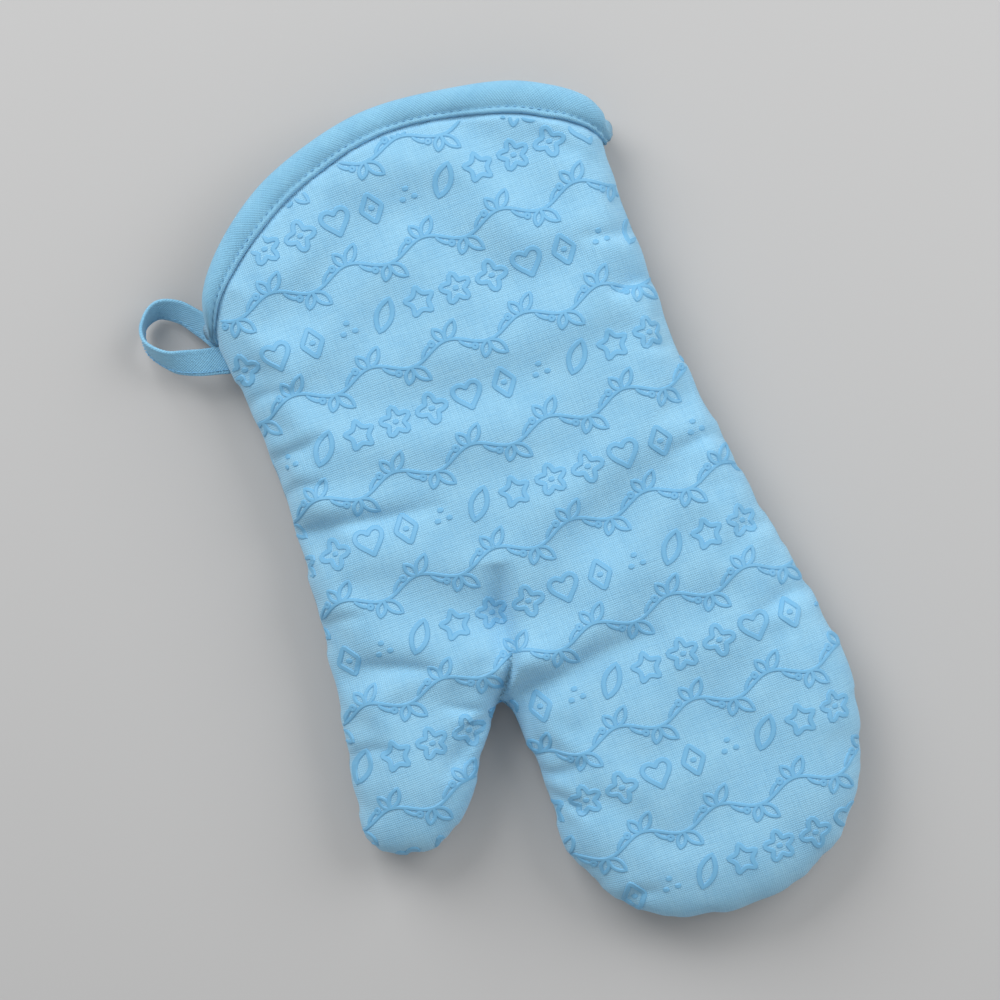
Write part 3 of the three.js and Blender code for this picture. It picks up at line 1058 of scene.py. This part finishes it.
THREAD = 0.45
SEAM_PITCH = 2.8
SHELL_SEAM_DEPTH = 1.1
LINING_SEAM_DEPTH = 2.6
SHELL_SEAM_TRIM, LINING_SEAM_TRIM = 9, 12  # off each end of the seam's line
THREAD_COLOUR = "#6ba6cc"
THREAD_TWIST = 0.4 * MM
WAVE_RATE = 20  # how far round a Wave texture goes per metre at a scale of 1, in radians
THREAD_RELIEF = 0.05 * MM
STITCH_DIP, STITCH_CREST = -0.8, 0.9  # how deep a stitch's ends lie and how high it arches, in threads
SEAM_STITCH = 2.2

# Sets arched stitches along each line
stitching, given = new_tree("stitches", {"Pitch": "Float", "Length": "Float", "Thread": "Float"})
course = add(stitching, "GeometryNodeMeshToCurve", {"Mesh": given["Geometry"]})
marks = add(
    stitching, "GeometryNodeResampleCurve",
    {"Curve": course.outputs[0], "Length": given["Pitch"]}, mode="LENGTH",
)
half = add(stitching, "ShaderNodeMath", {0: given["Length"], 1: 0.5}, operation="MULTIPLY").outputs[0]
before = add(stitching, "ShaderNodeMath", {0: half, 1: -1.0}, operation="MULTIPLY").outputs[0]
dip = add(stitching, "ShaderNodeMath", {0: given["Thread"], 1: STITCH_DIP}, operation="MULTIPLY").outputs[0]
crest = add(
    stitching, "ShaderNodeMath", {0: given["Thread"], 1: STITCH_CREST}, operation="MULTIPLY"
).outputs[0]
arch = add(stitching, "GeometryNodeCurveQuadraticBezier", {
    "Resolution": 4,
    "Start": add(stitching, "ShaderNodeCombineXYZ", {"X": before, "Z": dip}).outputs[0],
    "Middle": add(stitching, "ShaderNodeCombineXYZ", {"Z": crest}).outputs[0],
    "End": add(stitching, "ShaderNodeCombineXYZ", {"X": half, "Z": dip}).outputs[0],
})
thread_round = add(
    stitching, "ShaderNodeMath", {0: given["Thread"], 1: 0.5}, operation="MULTIPLY"
).outputs[0]
section = add(stitching, "GeometryNodeCurvePrimitiveCircle", {"Resolution": 6, "Radius": thread_round})
one_stitch = add(
    stitching, "GeometryNodeCurveToMesh",
    {"Curve": arch.outputs[0], "Profile Curve": section.outputs[0], "Fill Caps": True},
)
heading = add(
    stitching, "FunctionNodeAlignRotationToVector",
    {"Vector": add(stitching, "GeometryNodeInputTangent").outputs[0]}, axis="X", pivot_axis="Z",
)
row = add(
    stitching, "GeometryNodeInstanceOnPoints",
    {"Points": marks.outputs[0], "Instance": one_stitch.outputs[0], "Rotation": heading.outputs[0]},
)
sewn = add(stitching, "GeometryNodeRealizeInstances", {"Geometry": row.outputs[0]})
even = add(stitching, "GeometryNodeSetShadeSmooth", {"Geometry": sewn.outputs[0], "Shade Smooth": True})
add(stitching, "NodeGroupOutput", {"Geometry": even.outputs[0]})


def stitches(name, line, height, pitch, length):
    """A row of stitches along a flat line, at a height above the cloth."""
    stitch_row = wire(name, [(line, False)], height)
    sizes = {"Pitch": pitch * MM, "Length": length * MM, "Thread": THREAD * MM}
    return apply_tree(stitch_row, stitching, sizes)


def polyester_thread(name, colour):
    """Twisted polyester: finer and a little glossier than the cloth, with a fine ribbing from its plies."""
    material, tree = new_material(name)
    place = add(tree, "ShaderNodeTexCoord").outputs["Object"]
    plies = add(
        tree, "ShaderNodeTexWave",
        {"Vector": place, "Scale": 1 / THREAD_TWIST / WAVE_RATE, "Distortion": 1.0},
        bands_direction="DIAGONAL",
    )
    bump = add(
        tree, "ShaderNodeBump", {"Height": plies.outputs["Fac"], "Strength": 1.0, "Distance": THREAD_RELIEF}
    )
    surface = add(tree, "ShaderNodeBsdfPrincipled", {
        "Base Color": linear(colour),
        "Roughness": 0.55,
        "Sheen Weight": 0.2,
        "Normal": bump.outputs[0],
    })
    add(tree, "ShaderNodeOutputMaterial", {"Surface": surface.outputs[0]})
    return material


thread = polyester_thread("twisted_polyester_thread", THREAD_COLOUR)
seam_line = side_seam(1.0)
for layer_name, depth, trim in (
    ("side", SHELL_SEAM_DEPTH, SHELL_SEAM_TRIM),
    ("lining", LINING_SEAM_DEPTH, LINING_SEAM_TRIM),
):
    stitch_row = stitches(
        f"{layer_name}_seam_stitches", seam_line[trim:-trim], -depth, SEAM_PITCH, SEAM_STITCH
    )
    piece = lay(stitch_row, "palm", thread)
    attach(piece, "mitt")
    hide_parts(f"{layer_name}_seam_thread")

# ---- Binding
# Cotton tape cut on the bias, folded over the raw edges of all three layers at the cuff, with its own
# edges turned under. One row of topstitch catches both legs and dents the tape.

BINDING_STEP = 1.6
TOPSTITCH_SHARE = 0.2  # of the way from the tape's lower edge to the cuff's edge
TOPSTITCH_PITCH = 3.2
TOPSTITCH_LENGTH = 2.3
TOPSTITCH_HEIGHT = -0.4
TOPSTITCH_RUN = slice(3, -4)  # leaves out both ends, where the tape goes into the side seams
BINDING_WIDTH = 10
STITCH_DENT = 0.45
DENT_REACH = 0.12  # as a share of the tape's width
TAPE_RIPPLE, TAPE_RIPPLE_REACH = 0.12, 3.1
OUTSIDE_DEPTH = 1  # the parts of the section that are less deep than this show, and are dented and rippled
# The tape's section, round from the lower edge of its outer leg: how far up from that edge to the cuff's,
# then how far past the cuff's edge and how deep below the bag's outside, in millimetres
BINDING_SECTION = [
    (0.0, 0, 1.9), (0.0, 0, 1.1), (0.02, 0, 0.3), (0.07, 0, -0.2), (0.13, 0, 0.05), (0.19, 0, 0.45),
    (0.25, 0, 0.1), (0.36, 0, -0.6), (0.55, 0, -1.0), (0.75, 0, -0.8), (0.9, 0, -0.1), (1.0, 0.1, 0.7),
    (1.0, 0.5, 2.0), (1.0, 0.6, 3.4), (1.0, 0.4, 4.8), (0.97, 0, 5.7), (0.8, 0, 6.1), (0.4, 0, 6.1),
    (0.0, 0, 6.0), (0.0, 0, 5.4), (0.4, 0, 5.4), (0.9, 0, 5.3), (1.0, -0.2, 4.6), (1.0, 0.0, 3.2),
    (1.0, -0.1, 2.1), (0.9, 0, 1.5), (0.4, 0, 1.7),
]
TAPE_PITCH = 0.75 * MM
TAPE_COLOURS = ("#8ac4e2", "#6eacd2")
TAPE_RELIEF = 0.2 * MM
TAPE_SHEEN = 0.2
TAPE_PATCH = 12 * MM
BIAS = math.radians(45)


def swept_tape(name, rings, around):
    """A closed tape through rings of points, with UVs along it and around it."""
    count, corners = rings.shape[:2]
    faces = []
    for i in range(count - 1):
        for j in range(corners):
            k = (j + 1) % corners
            faces.append((i * corners + j, i * corners + k, (i + 1) * corners + k, (i + 1) * corners + j))
    faces.append(tuple(range(corners))[::-1])
    faces.append(tuple((count - 1) * corners + j for j in range(corners)))
    tape = new_object(name, rings.reshape(-1, 3), faces)
    travelled = np.linalg.norm(np.diff(rings.mean(axis=1), axis=0), axis=1)
    along = np.repeat(np.concatenate([[0], np.cumsum(travelled)]), corners)
    cut_map(tape.data, along, np.tile(around, count))
    tape.data.shade_smooth()
    work = bmesh.new()
    work.from_mesh(tape.data)
    bmesh.ops.recalc_face_normals(work, faces=work.faces)
    work.to_mesh(tape.data)
    work.free()
    return tape


def even_pair(spacing):
    """As many points along the tape's lower edge as along the cuff's."""
    top = smooth_line(CUFF, spacing)
    shares = np.linspace(0, 1, len(top))
    low = smooth_line(BINDING_EDGE, spacing / 4)
    marks = np.linspace(0, 1, len(low))
    return np.column_stack([np.interp(shares, marks, axis) for axis in low.T]), top


def binding_rings():
    low, top = even_pair(BINDING_STEP)
    past = leftward(top)
    travelled = np.arange(len(top)) * BINDING_STEP
    dent = STITCH_DENT * np.cos(2 * np.pi * travelled / TOPSTITCH_PITCH)
    rings = []
    for share, beyond, depth in BINDING_SECTION:
        flat = low + (top - low) * share + past * beyond
        outside = depth < OUTSIDE_DEPTH
        near_stitch = math.exp(-(((share - TOPSTITCH_SHARE) / DENT_REACH) ** 2)) * outside
        ripple = TAPE_RIPPLE * np.sin(travelled / TAPE_RIPPLE_REACH + share * 2) * outside
        rings.append(np.column_stack([flat, -(depth + dent * near_stitch + ripple)]))
    return np.stack(rings, axis=1) * MM


bias_tape = woven_cloth(
    "bias_cut_cotton_tape", TAPE_COLOURS, TAPE_PITCH, BIAS, TAPE_RELIEF, TAPE_SHEEN, TAPE_PATCH
)
section_points = np.array([
    (share * BINDING_WIDTH + beyond, depth) for share, beyond, depth in BINDING_SECTION
])
section_steps = np.linalg.norm(np.diff(section_points, axis=0), axis=1)
section_map = np.concatenate([[0], np.cumsum(section_steps)]) * MM
edge_low, edge_top = even_pair(1.0)
topstitch_line = edge_low + (edge_top - edge_low) * TOPSTITCH_SHARE
for side in ("palm", "back"):
    piece = lay(swept_tape(f"{side}_binding_tape", binding_rings(), section_map), side, bias_tape)
    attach(piece, "mitt")
    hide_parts(f"{side}_binding")
    stitch_row = stitches(
        f"{side}_topstitch", topstitch_line[TOPSTITCH_RUN],
        TOPSTITCH_HEIGHT, TOPSTITCH_PITCH, TOPSTITCH_LENGTH,
    )
    stitch_row = lay(stitch_row, side, thread)
    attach(stitch_row, "mitt")
    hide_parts(f"{side}_binding_thread")

# ---- Hanging loop
# The same tape folded lengthways and stitched along its edge. Both ends are caught in the thumb-side
# seam just below the cuff.

LOOP_WIDTH = 10.5
LOOP_THICK = 1.4
LOOP_STITCH_INSET = 1.5
LOOP_STITCH_PITCH = 2.8
LOOP_STITCH = 2.1
LOOP_STITCH_SINK = 0.02
LOOP_STITCH_TRIM = 2
LOOP_EDGE_POINTS = 60
# A point on the tape's middle line, in millimetres, and the way that its width points there
LOOP_STOPS = [
    ((-76.5, 96.6, 11.6), (0, 1, 0)),
    ((-80.8, 97.8, 12.4), (0, 1, 0)),
    ((-88.6, 99.8, 13.4), (-0.12, 1, 0.15)),
    ((-98.0, 104.0, 13.8), (-0.25, 0.85, 0.5)),
    ((-104.4, 111.8, 11.8), (0, 0.6, 0.8)),
    ((-103.4, 120.2, 8.2), (0.15, 0.4, 0.9)),
    ((-96.4, 124.2, 6.6), (0.2, 0.35, 0.9)),
    ((-89.0, 121.0, 6.8), (0.2, 0.5, 0.8)),
    ((-83.6, 114.8, 8.2), (0.2, 0.7, 0.6)),
    ((-79.0, 108.6, 10.2), (0.1, 1, 0.2)),
    ((-76.5, 105.0, 11.0), (0, 1, 0)),
]
# The tape's section: across from its middle, and out from its face, in half widths and half thicknesses
LOOP_SECTION = [
    (-1.0, 0.0), (-0.98, 0.6), (-0.9, 1.0), (-0.7, 0.8), (-0.5, 1.0), (0, 1.05), (0.5, 1.0), (0.7, 0.85),
    (0.9, 1.0), (0.98, 0.6), (1.0, 0.0), (0.98, -0.6), (0.9, -1.0), (0.7, -0.85), (0.5, -1.0), (0, -1.05),
    (-0.5, -1.0), (-0.7, -0.8), (-0.9, -1.0), (-0.98, -0.6),
]

loop_line = smooth_line([at for at, _ in LOOP_STOPS], 1.0)
loop_length = len(loop_line) - 1.0
loop_across = smooth_line([across for _, across in LOOP_STOPS], 0.01)
loop_across = loop_across[np.linspace(0, len(loop_across) - 1, len(loop_line)).round().astype(int)]
loop_ahead = np.gradient(loop_line, axis=0)
loop_ahead /= np.linalg.norm(loop_ahead, axis=1)[:, None]
loop_across -= (loop_across * loop_ahead).sum(axis=1)[:, None] * loop_ahead
loop_across /= np.linalg.norm(loop_across, axis=1)[:, None]
loop_out = np.cross(loop_ahead, loop_across)


def loop_chart():
    """The flat tape, which knows where each of its points goes on the loop."""
    reach = (-LOOP_WIDTH, 0, LOOP_WIDTH)
    count = len(loop_line)
    flat = [(i * 1.0, across, 0) for across in reach for i in range(count)]
    strips = [(j * count + i, j * count + i + 1, (j + 1) * count + i + 1, (j + 1) * count + i)
              for j in range(2) for i in range(count - 1)]
    made = new_object("loop_chart", np.array(flat) * MM, strips)
    keep_vectors(made.data, "place", np.vstack([loop_line + loop_across * across for across in reach]) * MM)
    keep_vectors(made.data, "out", np.vstack([loop_out] * 3))
    return made


charts["loop"] = loop_chart()
loop_rings = np.array([
    [(i * 1.0, across * LOOP_WIDTH / 2, out * LOOP_THICK / 2) for across, out in LOOP_SECTION]
    for i in range(len(loop_line))
]) * MM
loop_map = np.array([across * LOOP_WIDTH / 2 for across, _ in LOOP_SECTION]) * MM
strap = lay(swept_tape("hanging_loop_tape", loop_rings, loop_map), "loop", bias_tape)
edge_line = np.column_stack([
    np.linspace(LOOP_STITCH_TRIM, loop_length - LOOP_STITCH_TRIM, LOOP_EDGE_POINTS),
    np.full(LOOP_EDGE_POINTS, LOOP_STITCH_INSET - LOOP_WIDTH / 2),
])
strap_stitches = []
for name, face in (("hanging_loop_stitches", -1), ("hanging_loop_stitches_inside", 1)):
    height = face * (LOOP_THICK / 2 - LOOP_STITCH_SINK)
    stitch_row = stitches(name, edge_line, height, LOOP_STITCH_PITCH, LOOP_STITCH)
    strap_stitches.append(lay(stitch_row, "loop", thread))
for piece in (strap, *strap_stitches):
    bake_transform(piece)
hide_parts("hanging_loop")
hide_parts("hanging_loop_thread")

for made in charts.values():
    bpy.data.objects.remove(made)

# ---- Floor and lights
# A sheet of pale grey paper on a table, a large soft light from the upper left of the frame and a weaker
# one from the upper right.

FLOOR_COLOUR = "#b8b8b8"
FLOOR_REACH = 3.0
PAPER_TOOTH = 0.5 * MM
PAPER_RELIEF = 0.01 * MM
# Each light's place and size in metres, and its power in watts
KEY_LIGHT = ((-0.4, 1.2, 1.0), 1.0, 17.5)
FILL_LIGHT = ((1.0, 0.25, 0.8), 0.9, 8.5)
STUDIO_WHITE = (1.0, 1.0, 1.0, 1)
STUDIO_BRIGHTNESS = 0.47


def matt_paper(name):
    """Matt paper: one even grey with a very fine tooth and no gloss."""
    material, tree = new_material(name)
    place = add(tree, "ShaderNodeTexCoord").outputs["Object"]
    tooth = add(tree, "ShaderNodeTexNoise", {"Vector": place, "Scale": 1 / PAPER_TOOTH, "Detail": 3.0})
    bump = add(
        tree, "ShaderNodeBump", {"Height": tooth.outputs["Fac"], "Strength": 1.0, "Distance": PAPER_RELIEF}
    )
    surface = add(tree, "ShaderNodeBsdfPrincipled", {
        "Base Color": linear(FLOOR_COLOUR),
        "Roughness": 0.95,
        "Specular IOR Level": 0.1,
        "Normal": bump.outputs[0],
    })
    add(tree, "ShaderNodeOutputMaterial", {"Surface": surface.outputs[0]})
    return material


floor = new_object(
    "floor",
    np.array([(-1, -1, 0), (1, -1, 0), (1, 1, 0), (-1, 1, 0)]) * FLOOR_REACH,
    [(0, 1, 2, 3)],
)
floor.data.materials.append(matt_paper("matt_grey_paper"))


def soft_light(name, place, size, power):
    """A square soft box that faces the mitt."""
    box = bpy.data.lights.new(name, "AREA")
    box.size = size
    box.energy = power
    made = put_in_scene(name, box)
    made.location = place
    made.rotation_euler = (-Vector(place)).to_track_quat("-Z", "Y").to_euler()


soft_light("key_light", *KEY_LIGHT)
soft_light("fill_light", *FILL_LIGHT)
world = bpy.data.worlds.new("studio")
bpy.context.scene.world = world
world.use_nodes = True
surround = world.node_tree.nodes["Background"]
surround.inputs["Color"].default_value = STUDIO_WHITE
surround.inputs["Strength"].default_value = STUDIO_BRIGHTNESS
bpy.context.scene.view_settings.view_transform = "Standard"
